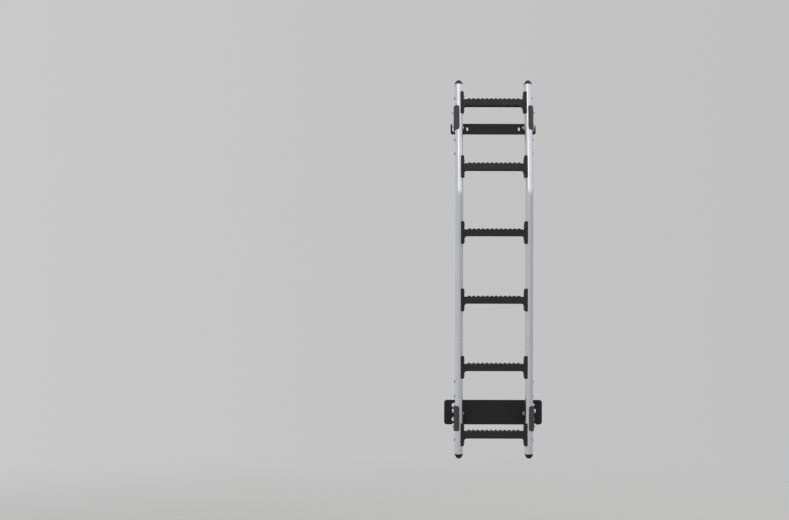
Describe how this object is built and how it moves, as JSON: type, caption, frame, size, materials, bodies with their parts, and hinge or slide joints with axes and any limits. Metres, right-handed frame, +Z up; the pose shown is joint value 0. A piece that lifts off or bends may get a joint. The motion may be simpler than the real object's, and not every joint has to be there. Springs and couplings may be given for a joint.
{
  "type": "van rear door ladder",
  "caption": "Bent access ladder: hollow round-ended aluminium stiles with moulded ridged treads, and a wide lower plate and narrow upper bar, clamped on, that bolt it to a panel.",
  "frame": {"origin": "centre of the lower plate's back face, where it lies on the panel", "axes": "+Z up, +Y into the panel, so the treads face -Y, +X to the climber's right"},
  "size_m": [0.352, 0.1447, 1.3565],
  "materials": {
    "stile": "satin anodised",
    "tread": "fine moulded grain",
    "end_cap": "fine moulded grain",
    "bracket": "black powder coat",
    "clamp_arm": "black powder coat",
    "clamp_pad": "dark grey moulded grain"
  },
  "bodies": {
    "root": {"left_stile": "stile", "left_top_cap": "end_cap", "left_bottom_cap": "end_cap", "left_lower_clamp_arm": "clamp_arm", "left_lower_clamp_pad": "clamp_pad", "left_upper_clamp_arm": "clamp_arm", "left_upper_clamp_pad": "clamp_pad", "right_stile": "stile", "right_top_cap": "end_cap", "right_bottom_cap": "end_cap", "right_lower_clamp_arm": "clamp_arm", "right_lower_clamp_pad": "clamp_pad", "right_upper_clamp_arm": "clamp_arm", "right_upper_clamp_pad": "clamp_pad", "tread_1": "tread", "tread_2": "tread", "tread_3": "tread", "tread_4": "tread", "tread_5": "tread", "tread_6": "tread", "lower_bracket_plate": "bracket", "upper_bracket_bar": "bracket"}
  },
  "joints": []
}
